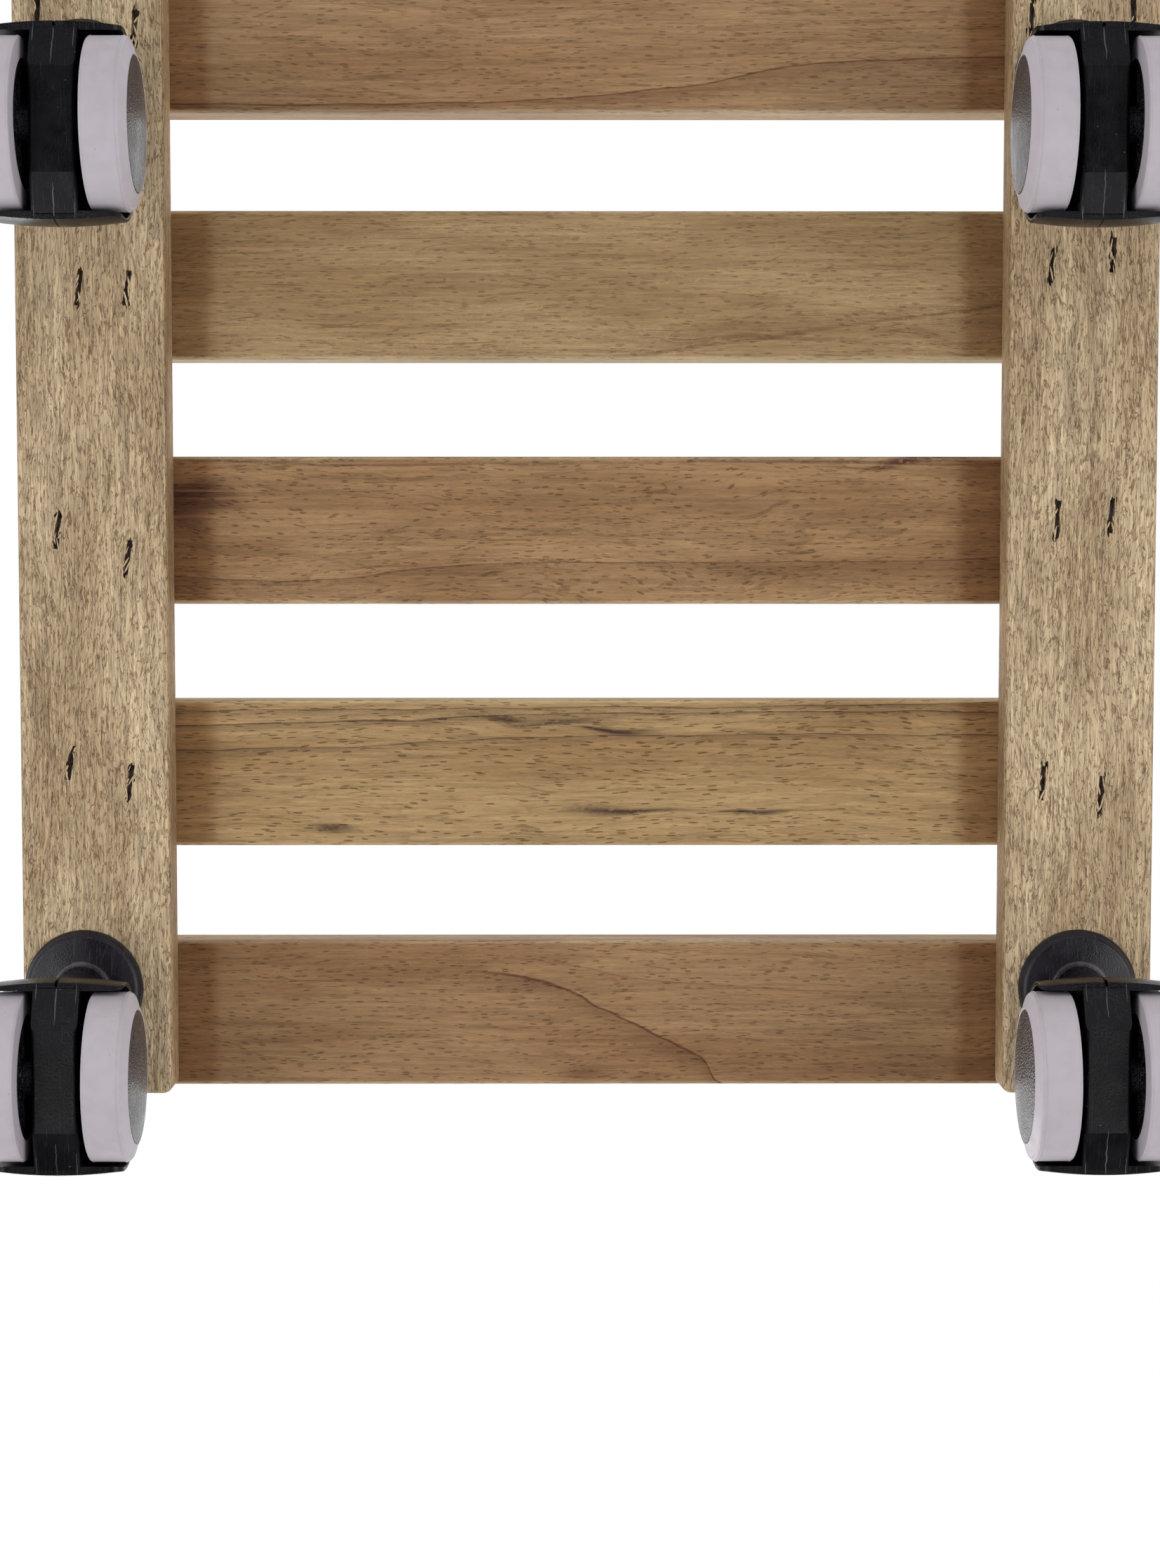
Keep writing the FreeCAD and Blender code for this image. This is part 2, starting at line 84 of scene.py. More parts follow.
class Shade:
    """One procedural material. Each method adds nodes and returns the socket that carries the result."""

    def __init__(self, name):
        self.material = bpy.data.materials.new(name)
        self.material.use_nodes = True
        self.tree = self.material.node_tree
        self.shader = self.tree.nodes["Principled BSDF"]

    def set(self, socket, value):
        """Links the socket when value is a socket too, and otherwise sets it to that value."""
        if isinstance(value, bpy.types.NodeSocket):
            self.tree.links.new(value, socket)
        else:
            socket.default_value = value

    def add(self, kind, inputs, **settings):
        node = self.tree.nodes.new(kind)
        for key, value in settings.items():
            setattr(node, key, value)
        for key, value in inputs.items():
            self.set(node.inputs[key], value)
        return node

    def math(self, operation, a, b=0.0):
        return self.add("ShaderNodeMath", {0: a, 1: b}, operation=operation).outputs[0]

    def vector(self, operation, a, b):
        return self.add("ShaderNodeVectorMath", {0: a, 1: b}, operation=operation).outputs[0]

    def fade(self, value, low, high, start=0.0, end=1.0):
        """A smooth step from start at low to end at high."""
        inputs = {"Value": value, "From Min": low, "From Max": high, "To Min": start, "To Max": end}
        node = self.add("ShaderNodeMapRange", inputs, interpolation_type="SMOOTHSTEP")
        return node.outputs[0]

    def mix(self, share, a, b):
        node = self.add("ShaderNodeMix", {0: share, 6: a, 7: b}, data_type="RGBA")
        return node.outputs[2]

    def darken(self, colour, share):
        """The colour that a socket carries, multiplied by a number."""
        return self.vector("MULTIPLY", colour, self.join(share, share, share))

    def join(self, x, y, z):
        return self.add("ShaderNodeCombineXYZ", {0: x, 1: y, 2: z}).outputs[0]

    def split(self, vector):
        return self.add("ShaderNodeSeparateXYZ", {0: vector}).outputs[0:3]

    def place(self):
        """Metres in the frame of the part, whatever pose the body is in."""
        return self.tree.nodes.new("ShaderNodeTexCoord").outputs["Object"]

    def stretched(self, vector, sizes):
        """The vector counted in steps of these sizes, in millimetres."""
        return self.vector("MULTIPLY", vector, [1 / (size * MM) for size in sizes])

    def noise(self, vector, sizes, detail=2.0, twist=0.0):
        inputs = {"Vector": self.stretched(vector, sizes), "Scale": 1.0}
        inputs.update({"Detail": detail, "Distortion": twist})
        return self.add("ShaderNodeTexNoise", inputs).outputs[0]

    def cells(self, vector, sizes):
        """Distance from the nearest of many scattered points, and that point's own random number."""
        inputs = {"Vector": self.stretched(vector, sizes), "Scale": 1.0}
        node = self.add("ShaderNodeTexVoronoi", inputs)
        lot = self.split(node.outputs["Color"])[0]
        return node.outputs["Distance"], lot

    def curve(self, value, span, points, reach):
        """A smooth curve through (value, result) points: value runs over ±span and the result over ±reach."""
        share = self.add(
            "ShaderNodeMapRange", {"Value": value, "From Min": -span, "From Max": span}
        ).outputs[0]
        node = self.add("ShaderNodeFloatCurve", {"Value": share})
        track = node.mapping.curves[0]
        while len(track.points) < len(points):
            track.points.new(0.5, 0.5)
        for spot, (along, across) in zip(track.points, points):
            spot.location = (0.5 + along / (2 * span), 0.5 + across / (2 * reach))
        node.mapping.update()
        return self.add(
            "ShaderNodeMapRange", {"Value": node.outputs[0], "To Min": -reach, "To Max": reach}
        ).outputs[0]

    def bump(self, height, depth):
        """A bump as deep as depth millimetres where height goes from 0 to 1."""
        inputs = {"Height": height, "Strength": 1.0, "Distance": depth * MM}
        self.set(self.shader.inputs["Normal"], self.add("ShaderNodeBump", inputs).outputs[0])

    def finish(self, colour, roughness, **fixed):
        self.set(self.shader.inputs["Base Color"], colour)
        self.set(self.shader.inputs["Roughness"], roughness)
        for key, value in fixed.items():
            self.shader.inputs[key.replace("_", " ")].default_value = value
        return self.material


# ---------------------------------------------------------------- wood


PALE_FIBRE = srgb(214, 192, 152)
END_GRAIN = srgb(134, 99, 70)
END_RAY = srgb(74, 52, 37)
END_RING = srgb(80, 54, 37)
# painted shade of the bearers on the slats' lower faces beside them
BEARER_SHADE = (0.72, 0.60, 0.50)
IN_THE_PORES = (0.44, 0.35, 0.28)
ON_THE_FLANK = (0.74, 0.66, 0.57)
LINE_SPAN = 180  # mm along the board from its middle that a drawn line may reach
LINE_REACH = 30  # mm across it
LINE_SHADE = 9  # mm that the shade beside a drawn line spreads
BEARER_SHADE_REACH = 58  # mm of a slat's end, bearer and the strip beside it, that is darker underneath: painted shade of the bearers


class Board(Shade):
    """The material of one planed board, with the patterns that several of its marks share."""

    def __init__(self, node, seed, swing):
        super().__init__(f"wood_{node}")
        low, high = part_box(node)
        half = (high - low) / 2
        along_y = half.y > half.x
        x, y, self.z = self.split(self.vector("SUBTRACT", self.place(), (low + high) / 2))
        self.across, self.along = (x, y) if along_y else (y, x)
        self.half_length = half.y if along_y else half.x
        self.half_width = half.x if along_y else half.y
        self.bottom = -half.z
        local = self.join(self.across, self.z, self.along)
        self.spot = self.vector("ADD", local, [seed * 0.61, seed * 0.37, seed * 1.7])

        self.clouds = self.noise(self.spot, (16, 16, 95), 3)
        self.streaks = self.noise(self.spot, (1.2, 1.2, 34), 4, 0.3)
        self.fibres = self.noise(self.spot, (0.3, 0.3, 6), 3)
        self.fuzz = self.noise(self.spot, (0.8, 0.8, 1.5), 3, 0.8)
        self.ripple = self.math("MULTIPLY", self.noise(self.spot, (3, 3, 26), 2), 1.6)
        drift = self.math("SUBTRACT", self.noise(self.spot, (24, 24, 70), 2), 0.5)
        wander = self.math("MULTIPLY", drift, swing * MM)
        self.shift = self.math("ADD", self.across, wander)
        self.bent = self.vector("ADD", self.spot, self.join(self.math("MULTIPLY", wander, 0.5), 0.0, 0.0))

    def length(self, a, b):
        """How long a line is that goes a one way and b at right angles to it."""
        squares = self.math("ADD", self.math("MULTIPLY", a, a), self.math("MULTIPLY", b, b))
        return self.math("SQRT", squares)

    def growth_rings(self, spacing, pith_across, pith_deep):
        """Bands about a pith beside the board, each one fading in and ending sharply."""
        from_pith = self.math("SUBTRACT", self.shift, pith_across * MM)
        deep = self.math("SUBTRACT", self.z, pith_deep * MM)
        radius = self.length(from_pith, deep)
        turn = self.math("FRACT", self.math("ADD", self.math("DIVIDE", radius, spacing * MM), self.ripple))
        band = self.math("MAXIMUM", self.fade(turn, 0.1, 0.94, 0.0, 0.5), self.fade(turn, 0.8, 0.95))
        return self.math("MULTIPLY", band, self.fade(turn, 1.0, 0.97))

    def rays_and_pores(self, dash_length, flecks):
        """The rays' short dark dashes, and the pores, which are fewer."""
        far, lot = self.cells(self.bent, (0.8, 0.8, dash_length))
        dash = self.math("MULTIPLY", self.fade(far, 0.28, 0.2), self.fade(lot, 0.05, 0.4))
        far_pore, lot_pore = self.cells(self.spot, (0.55, 0.55, 4.2))
        pore = self.math("MULTIPLY", self.fade(far_pore, 0.3, 0.15), self.fade(lot_pore, 0.3, 0.8))
        return self.math("MAXIMUM", self.math("MULTIPLY", dash, flecks), self.math("MULTIPLY", pore, 0.35))

    def hairlines(self):
        """Thin lines that wander along the grain, broken here and there."""
        field = self.noise(self.bent, (3.4, 3.4, 42), 2, 0.4)
        contour = self.math("ABSOLUTE", self.math("SUBTRACT", field, 0.5))
        broken = self.fade(self.noise(self.spot, (6, 6, 12), 2), 0.48, 0.6)
        return self.math("MULTIPLY", self.fade(contour, 0.014, 0.003), broken)

    def cracks(self):
        """Two layers of short cracks where the plane left the face rough."""
        cracks = 0.0
        for spread, offset in ((1.5, 0.0), (1.1, 0.7)):
            moved = self.vector("ADD", self.bent, [offset, offset, offset])
            field = self.noise(moved, (spread, spread, 7 * spread), 3, 0.8)
            level = self.math("ABSOLUTE", self.math("SUBTRACT", field, 0.5))
            moved = self.vector("ADD", self.bent, [0.0, offset, 0.3])
            patchy = self.fade(self.noise(moved, (0.9, 0.9, 3.0), 2), 0.42, 0.54)
            layer = self.math("MULTIPLY", self.fade(level, 0.026, 0.008), patchy)
            cracks = self.math("MAXIMUM", cracks, layer)
        return cracks

    def drawn_line(self, points, width, side, start):
        """A dark growth line through these points, with a softer shade on one side of it."""
        places = [(along * MM, across * MM) for along, across in points]
        course = self.curve(self.along, LINE_SPAN * MM, places, LINE_REACH * MM)
        jitter = self.math("MULTIPLY", self.math("SUBTRACT", self.ripple, 0.8), 1.4 * MM)
        gap = self.math("ADD", self.math("SUBTRACT", self.across, course), jitter)
        edge = self.fade(self.math("ABSOLUTE", gap), width * MM, 0.15 * width * MM)
        beside = self.fade(gap, -LINE_SHADE * MM * side, 0.0)
        near = self.math("MULTIPLY", beside, self.fade(gap, 0.3 * MM * side, 0.0))
        amount = self.math("MAXIMUM", edge, self.math("MULTIPLY", near, 0.45))
        amount = self.math("MULTIPLY", amount, self.fade(self.along, start * MM, (start + 24) * MM))
        return self.math("MULTIPLY", amount, self.fade(self.fibres, 0.2, 0.6, 0.7, 1.0))

    def stain(self, along, across, half_long, half_wide):
        """A dark streak in the wood that fades out all round."""
        a = self.math("DIVIDE", self.math("SUBTRACT", self.along, along * MM), half_long * MM)
        b = self.math("DIVIDE", self.math("SUBTRACT", self.shift, across * MM), half_wide * MM)
        blot = self.fade(self.length(a, b), 1.0, 0.1)
        return self.math("MULTIPLY", blot, self.fade(self.streaks, 0.22, 0.5, 0.3, 1.0))

    def underside_with_painted_shade(self, colour, underside):
        """The lower face, darker and browner than the sides, partly the wood's own tone and partly painted
        shade of the recess between the bearers, and darker still on and beside the bearers, which is painted
        shade of the bearers.
        """
        below = self.fade(self.z, self.bottom + 1.7 * MM, self.bottom + 0.5 * MM)
        inwards = self.math("ABSOLUTE", self.across)
        rim = self.fade(inwards, self.half_width - 0.5 * MM, self.half_width - 1.4 * MM)
        # the lower face's tint: partly the wood's own tone, partly painted shade of the recess between the
        # bearers
        underside_tone_and_shade = self.vector("MULTIPLY", colour, list(underside))
        # painted shade of the bearers: a band with a ragged edge on and beside them
        uneven = self.math("MULTIPLY", self.math("SUBTRACT", self.clouds, 0.5), 4 * MM)
        reach = self.math("ADD", self.math("ABSOLUTE", self.along), uneven)
        edge = self.half_length - BEARER_SHADE_REACH * MM
        in_bearer_shade = self.fade(reach, edge - 3 * MM, edge + 3 * MM)
        underside_tone_and_shade = self.mix(in_bearer_shade, underside_tone_and_shade, self.vector("MULTIPLY", underside_tone_and_shade, BEARER_SHADE))
        return self.mix(self.math("MULTIPLY", below, rim), colour, underside_tone_and_shade)

    def dark_flanks(self, colour):
        """The two long sides of a board, darker than its lower face."""
        inwards = self.math("ABSOLUTE", self.across)
        flank = self.fade(inwards, self.half_width - 0.7 * MM, self.half_width - 0.2 * MM)
        return self.mix(flank, colour, self.vector("MULTIPLY", colour, ON_THE_FLANK))


def wood(
    node, tones, seed, ring, flecks, dash_length=5.0, rough=1.0, torn=0.3, swing=26, lines=(), stains=()
):
    """A planed board: pores, rays, rings and the marks that belong to this one board.

    tones: light, dark, line, and underside or None
    ring: spacing, strength, pith across, pith deep
    flecks: how dark the rays' dashes are
    dash_length: how long they are
    rough: how cracked the face is, from 1 for smooth
    torn: how much the plane lifted the grain
    swing: how far the grain wanders
    lines: points (along, across), width, strength, side of the shade, where it starts
    stains: along, across, half length, half width, strength

    Lengths are in millimetres, and places count from the board's middle.
    """
    light, dark, line_colour, underside = tones
    spacing, ring_strength, pith_across, pith_deep = ring
    s = Board(node, seed, swing)
    ring_tone = s.growth_rings(spacing, pith_across, pith_deep)

    colour = s.mix(s.fade(s.clouds, 0.36, 0.64), light, dark)
    colour = s.mix(s.math("MULTIPLY", ring_tone, ring_strength), colour, dimmed(dark, 0.62))
    soft = s.fade(s.streaks, 0.32, 0.68, 1.12, 0.85)
    shade = s.math("MULTIPLY", soft, s.fade(s.fibres, 0.3, 0.7, 1 + 0.1 * rough, 1 - 0.12 * rough))
    colour = s.darken(colour, s.math("MULTIPLY", shade, s.fade(s.fuzz, 0.25, 0.75, 1.05, 0.96)))
    for points, width, strength, side, start in lines:
        amount = s.drawn_line(points, width, side, start)
        colour = s.mix(s.math("MULTIPLY", amount, strength), colour, line_colour)
    for stain_along, stain_across, half_long, half_wide, strength in stains:
        blot = s.stain(stain_along, stain_across, half_long, half_wide)
        colour = s.mix(s.math("MULTIPLY", blot, strength), colour, line_colour)
    mark = s.rays_and_pores(dash_length, flecks)
    mark = s.math("MAXIMUM", mark, s.math("MULTIPLY", s.hairlines(), 0.5))
    mark = s.math("MAXIMUM", mark, s.math("MULTIPLY", s.cracks(), 0.75 * (rough - 1)))
    colour = s.mix(mark, colour, s.vector("MULTIPLY", colour, IN_THE_PORES))
    lifted = s.math("MULTIPLY", s.fade(s.fuzz, 0.56, 0.68), s.fade(s.clouds, 0.6, 0.42))
    colour = s.mix(s.math("MULTIPLY", lifted, 0.5 * torn), colour, PALE_FIBRE)
    if underside:
        colour = s.underside_with_painted_shade(colour, underside)
    else:
        colour = s.dark_flanks(colour)

    # end grain: darker, with rays and rings seen from their ends
    ends = s.fade(s.math("ABSOLUTE", s.along), s.half_length - 0.5 * MM, s.half_length - 0.15 * MM)
    rays = s.noise(s.spot, (0.35, 5.0, 400), 3, 0.6)
    end_colour = s.mix(s.fade(rays, 0.4, 0.62), END_GRAIN, END_RAY)
    end_colour = s.mix(s.math("MULTIPLY", ring_tone, 0.5), end_colour, END_RING)
    colour = s.mix(ends, colour, end_colour)

    raised = s.math("ADD", s.math("MULTIPLY", s.fibres, 0.8), s.math("MULTIPLY", s.fuzz, 0.8 * torn))
    height = s.math("SUBTRACT", raised, s.math("ADD", mark, s.math("MULTIPLY", ends, rays)))
    s.bump(height, 0.16)
    return s.finish(colour, s.fade(s.fibres, 0.2, 0.8, 0.56, 0.74), Specular_IOR_Level=0.28)


# ---------------------------------------------------------------- plastics, rubber and metal


SCRATCH = srgb(112, 108, 112)
DUST = srgb(150, 148, 150)
DIRT = srgb(96, 90, 92)


def plastic(name, colour, worn, roughness, grain, depth, scuffs=0.5, shine=0.4):
    """Black moulded plastic: a spark-eroded or leather grain, thin scuffs and a little dust."""
    s = Shade(name)
    place = s.place()
    far, lot = s.cells(place, (grain, grain, grain))
    pebbles = s.fade(far, 0.1, 0.75)
    fine = s.noise(place, (grain * 0.35, grain * 0.35, grain * 0.35), 3)
    patches = s.noise(place, (7, 7, 7), 3)
    scratch = s.noise(s.vector("ADD", place, [0.3, 0.1, 0.2]), (9, 0.22, 9), 2, 1.4)
    thin = s.math("MULTIPLY", s.fade(scratch, 0.63, 0.7), scuffs)
    far_dust, lot_dust = s.cells(place, (2.6, 2.6, 2.6))
    dust = s.math("MULTIPLY", s.fade(far_dust, 0.09, 0.03), s.fade(lot_dust, 0.72, 0.8))
    tone = s.mix(s.fade(patches, 0.3, 0.7), colour, worn)
    tone = s.mix(s.math("MULTIPLY", s.fade(lot, 0.5, 1.0), 0.25), tone, worn)
    tone = s.mix(s.math("MULTIPLY", thin, 0.5), tone, SCRATCH)
    tone = s.mix(s.math("MULTIPLY", dust, 0.55), tone, DUST)
    height = s.math("ADD", s.math("MULTIPLY", pebbles, -0.7), s.math("MULTIPLY", fine, 0.5))
    s.bump(s.math("SUBTRACT", height, s.math("MULTIPLY", thin, 0.4)), depth)
    gloss = s.fade(patches, 0.3, 0.7, roughness - 0.06, roughness + 0.08)
    return s.finish(tone, gloss, Specular_IOR_Level=shine)


def rubber(name, colour, soiled):
    """Pale soft tread: almost smooth, faintly mottled, with fine rubbing marks."""
    s = Shade(name)
    place = s.place()
    mottle = s.noise(place, (5, 5, 5), 3)
    fine = s.noise(place, (0.35, 0.35, 0.35), 3)
    rubs = s.noise(place, (6, 0.5, 6), 3, 0.8)
    far, lot = s.cells(place, (2.2, 2.2, 2.2))
    specks = s.math("MULTIPLY", s.fade(far, 0.1, 0.04), s.fade(lot, 0.8, 0.86))
    tone = s.mix(s.fade(mottle, 0.35, 0.68), colour, soiled)
    tone = s.mix(s.math("MULTIPLY", s.fade(rubs, 0.58, 0.72), 0.3), tone, soiled)
    tone = s.mix(s.math("MULTIPLY", specks, 0.6), tone, DIRT)
    s.bump(s.math("ADD", fine, s.math("MULTIPLY", rubs, 0.6)), 0.03)
    return s.finish(tone, s.fade(mottle, 0.3, 0.7, 0.5, 0.62), Specular_IOR_Level=0.32)


def plain_fibre(name, colour, dark):
    """Broken wood, finely streaked; in dark colours, painted shade for the inside of splits."""
    s = Shade(name)
    place = s.place()
    streak = s.noise(place, (0.5, 0.2, 0.2), 2)
    s.bump(streak, 0.03)
    return s.finish(s.mix(s.fade(streak, 0.4, 0.7), colour, dark), 0.8, Specular_IOR_Level=0.2)


def steel(name, colour, roughness, turned_size):
    """Bright steel with fine marks of turning or drawing, and dull patches."""
    s = Shade(name)
    place = s.place()
    marks = s.noise(place, turned_size, 2)
    dull = s.noise(place, (3, 3, 3), 3)
    tone = s.mix(s.fade(dull, 0.4, 0.75), colour, dimmed(colour, 0.62))
    s.bump(marks, 0.012)
    return s.finish(tone, s.fade(dull, 0.3, 0.7, roughness, roughness + 0.16), Metallic=1.0)


def clothe(prefix, material):
    """Gives a material to every CAD node whose name starts with prefix."""
    for name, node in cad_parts.items():
        if name.startswith(prefix):
            node.data.materials.clear()
            node.data.materials.append(material)


TAN = (srgb(213, 190, 155), srgb(184, 159, 125), srgb(88, 62, 44), None)
# tints of the slats' lower faces: partly the wood's own tone, partly painted shade of the recess between the
# bearers
OLIVE_BELOW = (0.76, 0.66, 0.54)
BROWN_BELOW = (0.70, 0.57, 0.44)
WOODS = {
    "slat_5": dict(
        seed=5.3,
        tones=(srgb(196, 172, 142), srgb(178, 150, 118), srgb(104, 62, 36), BROWN_BELOW),
        ring=(5, 0.3, 60, 30),
        flecks=0.6,
        lines=[
            (
                ((-130, -20.5), (-40, -20.0), (0, -18.0), (35, -14.5), (62, -9), (95, -6.5), (130, -6)),
                0.5, 0.8, 1, -175,
            ),
            (((-130, 2), (-60, 4), (0, 9), (60, 18), (100, 23), (130, 24)), 0.5, 0.2, -1, -60),
        ],
    ),
    "slat_4": dict(
        seed=4.1,
        tones=(srgb(192, 170, 136), srgb(172, 148, 112), srgb(92, 62, 38), OLIVE_BELOW),
        ring=(4, 0.25, -70, 20),
        flecks=0.55,
        torn=1.0,
        lines=[
            (((-130, -23), (0, -22.5), (35, -19), (70, -14), (105, -9.5), (130, -6)), 1.0, 0.45, -1, 0),
        ],
        stains=[(104, -11, 34, 2.2, 0.35), (60, -17, 40, 1.6, 0.35)],
    ),
    "slat_3": dict(
        seed=3.7,
        tones=(srgb(198, 172, 138), srgb(176, 147, 113), srgb(84, 44, 34), BROWN_BELOW),
        ring=(3.6, 0.55, 8, 30),
        flecks=0.75,
        torn=0.7,
        swing=44,
        lines=[
            (
                ((-130, -14), (-90, -16), (-60, -13), (-30, -10.5), (-18, -10), (20, -10), (130, -9)),
                0.4, 0.6, 1, -150,
            ),
            (((-130, 22), (-70, 20.5), (0, 21), (60, 21.5), (130, 20)), 0.7, 0.45, -1, -175),
        ],
        stains=[(-124, 10, 24, 6, 0.9), (104, 19, 28, 4, 0.9), (-128, 4, 14, 8, 0.7)],
    ),
    "slat_2": dict(
        seed=2.9,
        tones=(srgb(202, 178, 138), srgb(180, 152, 112), srgb(66, 42, 40), OLIVE_BELOW),
        ring=(3.6, 0.35, -50, -40),
        flecks=0.9,
        dash_length=6.5,
        torn=0.5,
        lines=[
            (((-130, 15), (-60, 16.5), (0, 18.5), (60, 19), (130, 19)), 0.35, 0.8, 0.3, -175),
            (((-130, 19), (-60, 20), (0, 20.5), (60, 21), (130, 22)), 0.35, 0.7, 0.3, -175),
            (((-130, 7), (-70, 8.5), (-20, 11), (60, 12), (130, 12)), 0.3, 0.75, 0.3, -175),
        ],
        stains=[
            (-16, 17, 32, 1.8, 1.0),
            (8, 15, 20, 1.1, 1.0),
            (12, -12, 30, 1.9, 0.9),
            (52, -13, 22, 1.0, 0.9),
            (-80, -15.5, 11, 1.8, 0.8),
        ],
    ),
    "slat_1": dict(
        seed=1.6,
        tones=(srgb(190, 164, 132), srgb(170, 140, 108), srgb(92, 50, 32), BROWN_BELOW),
        ring=(6, 0.3, 46, 30),
        flecks=0.7,
        lines=[
            (
                ((-34, 13), (-13.5, 9.5), (5, 1), (23, -8), (36.5, -15), (41, -22), (60, -30)),
                0.8, 0.85, 1, -46,
            ),
            (((-130, 20), (-40, 19), (-20, 17), (0, 14), (14, 11), (130, 6)), 0.5, 0.35, 1, -30),
        ],
        stains=[(-2, -19, 14, 5, 0.5)],
    ),
    "bearer_front": dict(
        seed=7.7,
        tones=TAN,
        ring=(2.8, 0.4, 70, 26),
        flecks=0.45,
        dash_length=7,
        rough=2.3,
        torn=0.8,
        lines=[(((-175, -12), (-60, -14), (0, -9), (60, -12), (175, -16)), 0.4, 0.4, 1, -90)],
        stains=[(-150, 12, 40, 9, 0.35), (30, 10, 30, 4, 0.3)],
    ),
    "bearer_rear": dict(
        seed=8.4,
        tones=TAN,
        ring=(3.2, 0.4, -64, 30),
        flecks=0.45,
        dash_length=7,
        rough=2.3,
        torn=0.9,
        lines=[(((-175, 4), (-60, 8), (0, 4), (60, 1), (175, 6)), 0.4, 0.4, -1, -60)],
        stains=[(40, -6, 34, 4, 0.35), (-150, -12, 30, 6, 0.3)],
    ),
}

for node_name, recipe in WOODS.items():
    clothe(node_name, wood(node_name, **recipe))

flange_plastic = plastic("flange_plastic", srgb(17, 14, 21), srgb(28, 24, 33), 0.32, 0.55, 0.03, shine=0.34)
housing_plastic = plastic("housing_plastic", srgb(5, 4, 9), srgb(10, 8, 14), 0.3, 0.7, 0.03, 0.3, shine=0.22)
wheel_plastic = plastic("wheel_plastic", srgb(24, 22, 30), srgb(40, 36, 47), 0.19, 0.7, 0.35, 0.25, shine=0.7)
tread_rubber = rubber("tread_rubber", srgb(186, 179, 187), srgb(182, 175, 182))
plated_steel = steel("plated_steel", srgb(196, 194, 192), 0.2, (30, 30, 0.12))
spring_steel = steel("spring_steel", srgb(170, 166, 160), 0.28, (0.3, 30, 0.3))
staple_wire = steel("staple_wire", srgb(96, 92, 92), 0.42, (0.4, 3, 3))

clothe("socket_", flange_plastic)
clothe("housing_", housing_plastic)
clothe("wheel_core_", wheel_plastic)
clothe("tread_", tread_rubber)
clothe("stem_", plated_steel)
clothe("axle_", plated_steel)
clothe("grip_ring_", spring_steel)
clothe("stem_clip_", spring_steel)
clothe("staples_", staple_wire)


# ---------------------------------------------------------------- small pieces


def smooth_noise(seed, count, softness):
    """count numbers round a closed loop, about -1 to 1, that change slowly when softness is large."""
    draw = random.Random(seed)
    raw = [draw.uniform(-1, 1) for _ in range(count)]
    return [
        sum(raw[(i + step) % count] for step in range(-softness, softness + 1)) / math.sqrt(2 * softness + 1)
        for i in range(count)
    ]


class Strands:
    """One mesh of many thin tapered strands: splinters, threads and lips."""

    def __init__(self, name):
        self.name = name
        self.mesh = bmesh.new()

    def add(self, spine, widths, flat, thickness, sides=6):
        """A closed strand along the points of spine. It is widths across and thickness deep along flat."""
        rings = []
        for i, (point, width) in enumerate(zip(spine, widths)):
            ahead = (spine[min(i + 1, len(spine) - 1)] - spine[max(i - 1, 0)]).normalized()
            side = ahead.cross(flat).normalized()
            ring = []
            for k in range(sides):
                angle = 2 * math.pi * k / sides
                offset = side * (width / 2 * math.cos(angle)) + flat * (thickness / 2 * math.sin(angle))
                ring.append(self.mesh.verts.new(point + offset))
            rings.append(ring)
        for ring, following in zip(rings, rings[1:]):
            for k in range(sides):
                after = (k + 1) % sides
                self.mesh.faces.new((ring[k], ring[after], following[after], following[k]))
        self.mesh.faces.new(list(reversed(rings[0])))
        self.mesh.faces.new(rings[-1])

    def loop(self, rows):
        """A closed ring of faces. Each row is the same number of points of one section, all round."""
        grid = [[self.mesh.verts.new(point) for point in row] for row in rows]
        for i, row in enumerate(grid):
            following = grid[(i + 1) % len(grid)]
            for k in range(len(row)):
                after = (k + 1) % len(row)
                self.mesh.faces.new((row[k], row[after], following[after], following[k]))

    def finish(self, body, material, slot):
        bmesh.ops.recalc_face_normals(self.mesh, faces=self.mesh.faces)
        data = bpy.data.meshes.new(self.name)
        self.mesh.to_mesh(data)
        self.mesh.free()
        for face in data.polygons:
            face.use_smooth = True
        data.materials.append(material)
        piece = bpy.data.objects.new(self.name, data)
        bpy.context.scene.collection.objects.link(piece)
        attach(piece, body)


def taper(count, width, tip=0.12):
    """Widths of a strand that swells from a fine tip and thins out again."""
    return [width * (tip + (1 - tip) * math.sin(math.pi * (i + 0.5) / count)) for i in range(count)]


CROWN_REACH = 11 * MM  # corners of one staple are closer together than this, and staples further apart


def staple_crowns(node):
    """(middle, direction, half length) of each staple's crown, read from the corners of its lowest face."""
    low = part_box(node)[0].z
    corners = [v.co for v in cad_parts[node].data.vertices if v.co.z < low + 0.05 * MM]
    groups = []
    for corner in corners:
        near = [group for group in groups if any((corner - other).length < CROWN_REACH for other in group)]
        merged = [corner] + [other for group in near for other in group]
        groups = [group for group in groups if group not in near] + [merged]
    crowns = []
    for group in groups:
        middle = sum(group, Vector()) / len(group)
        ahead = [corner for corner in group if corner.x > middle.x]
        end = sum(ahead, Vector()) / len(ahead)
        crowns.append((middle, (end - middle).normalized(), (end - middle).length))
    return sorted(crowns, key=lambda crown: (round(crown[0].x, 4), round(crown[0].y, 4)))


# dark strips of painted shade for splits, per staple
SPLIT_SHADES_PER_STAPLE = 8
FIBRES_PER_STAPLE = 9
WHISKERS_PER_END = 9


